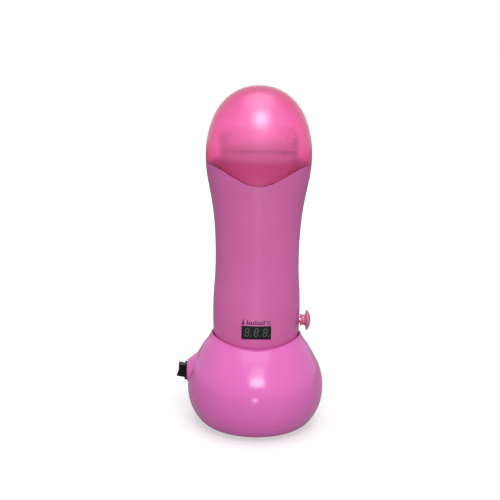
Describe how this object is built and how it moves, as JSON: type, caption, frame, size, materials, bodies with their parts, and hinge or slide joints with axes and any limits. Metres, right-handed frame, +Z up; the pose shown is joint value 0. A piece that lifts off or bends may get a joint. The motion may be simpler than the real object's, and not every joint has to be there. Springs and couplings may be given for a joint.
{
  "type": "roll-on wax warmer with docking base",
  "caption": "Oval hand-held warmer for a roll-on wax cartridge, with a clear domed cap, display and temperature knob, standing in a bell-shaped dock with a rocker switch.",
  "frame": {"origin": "centre of the foot ring, on the surface that the dock stands on", "axes": "+Z up along the handpiece, -Y towards the user and the display, +X to the side of the temperature knob"},
  "size_m": [0.1022, 0.096, 0.236],
  "materials": {
    "pink_case": "satin gloss pink",
    "pink_dock": "gloss pink",
    "clear_pink": "clear tinted pink",
    "rose_plastic": "satin rose",
    "black_plastic": "satin black",
    "display_black": "gloss black",
    "segment_green": "unlit diffuser",
    "white_plastic": "satin white",
    "clear_container": "clear",
    "wax_pink": "soft wax",
    "aluminium": "drawn",
    "ceramic_white": "plain",
    "mica_sheet": "plain",
    "board_green": "satin",
    "steel": "plain",
    "brass": "plain",
    "black_rubber": "matte",
    "grey_plastic": "matte"
  },
  "bodies": {
    "dock": {"dock_shell": "pink_dock", "dock_cover": "pink_dock", "rubber_ring": "black_rubber", "dock_screws": "steel", "contact_block": "grey_plastic", "contact_spring_left": "steel", "contact_spring_right": "steel", "switch_housing": "black_plastic", "switch_terminals": "brass", "power_inlet": "black_plastic", "inlet_pins": "brass"},
    "pin_left": {"contact_pin_left": "brass"},
    "pin_right": {"contact_pin_right": "brass"},
    "rocker": {"switch_rocker": "black_plastic"},
    "handpiece": {"front_shell": "pink_case", "rear_shell": "pink_case", "case_screws": "steel", "cap_collar": "pink_case", "heater_cup": "aluminium", "heating_plates": "ceramic_white", "insulation_sheets": "mica_sheet", "thermal_fuse": "steel", "temperature_sensor": "grey_plastic", "control_board": "board_green", "display_module": "display_black", "display_digits": "segment_green", "potentiometer": "grey_plastic", "bottom_plate": "pink_case", "contact_studs": "brass"},
    "knob": {"control_shaft": "steel", "temperature_knob": "rose_plastic"},
    "cartridge": {"cartridge_body": "clear_container", "wax_fill": "wax_pink", "cartridge_head": "white_plastic"},
    "roller": {"roller": "white_plastic"},
    "cap": {"cap": "clear_pink"}
  },
  "joints": [
    {"name": "handpiece_lift", "type": "slide", "parent": "dock", "child": "handpiece", "axis": [0, 0, 1], "range_m": [0, 0.06]},
    {"name": "knob_turn", "type": "hinge", "parent": "handpiece", "child": "knob", "pos_m": [0.03, 0, 0.0764], "axis": [1, 0, 0], "range_deg": [-135, 135]},
    {"name": "cartridge_lift", "type": "slide", "parent": "handpiece", "child": "cartridge", "axis": [0, 0, 1], "range_m": [0, 0.11]},
    {"name": "roller_spin", "type": "hinge", "parent": "cartridge", "child": "roller", "pos_m": [0, 0, 0.1991], "axis": [1, 0, 0], "continuous": true},
    {"name": "cap_lift", "type": "slide", "parent": "cartridge", "child": "cap", "axis": [0, 0, 1], "range_m": [0, 0.06]},
    {"name": "rocker_tilt", "type": "hinge", "parent": "dock", "child": "rocker", "pos_m": [-0.0482, 0, 0.0384], "axis": [0, -1, 0], "range_deg": [0, 20]},
    {"name": "pin_left_press", "type": "slide", "parent": "dock", "child": "pin_left", "axis": [0, 0, 1], "range_m": [-0.0015, 0], "stiffness_N_per_m": 400, "springref_m": 0.001, "deforming": ["contact_spring_left"]},
    {"name": "pin_right_press", "type": "slide", "parent": "dock", "child": "pin_right", "axis": [0, 0, 1], "range_m": [-0.0015, 0], "stiffness_N_per_m": 400, "springref_m": 0.001, "deforming": ["contact_spring_right"]}
  ]
}
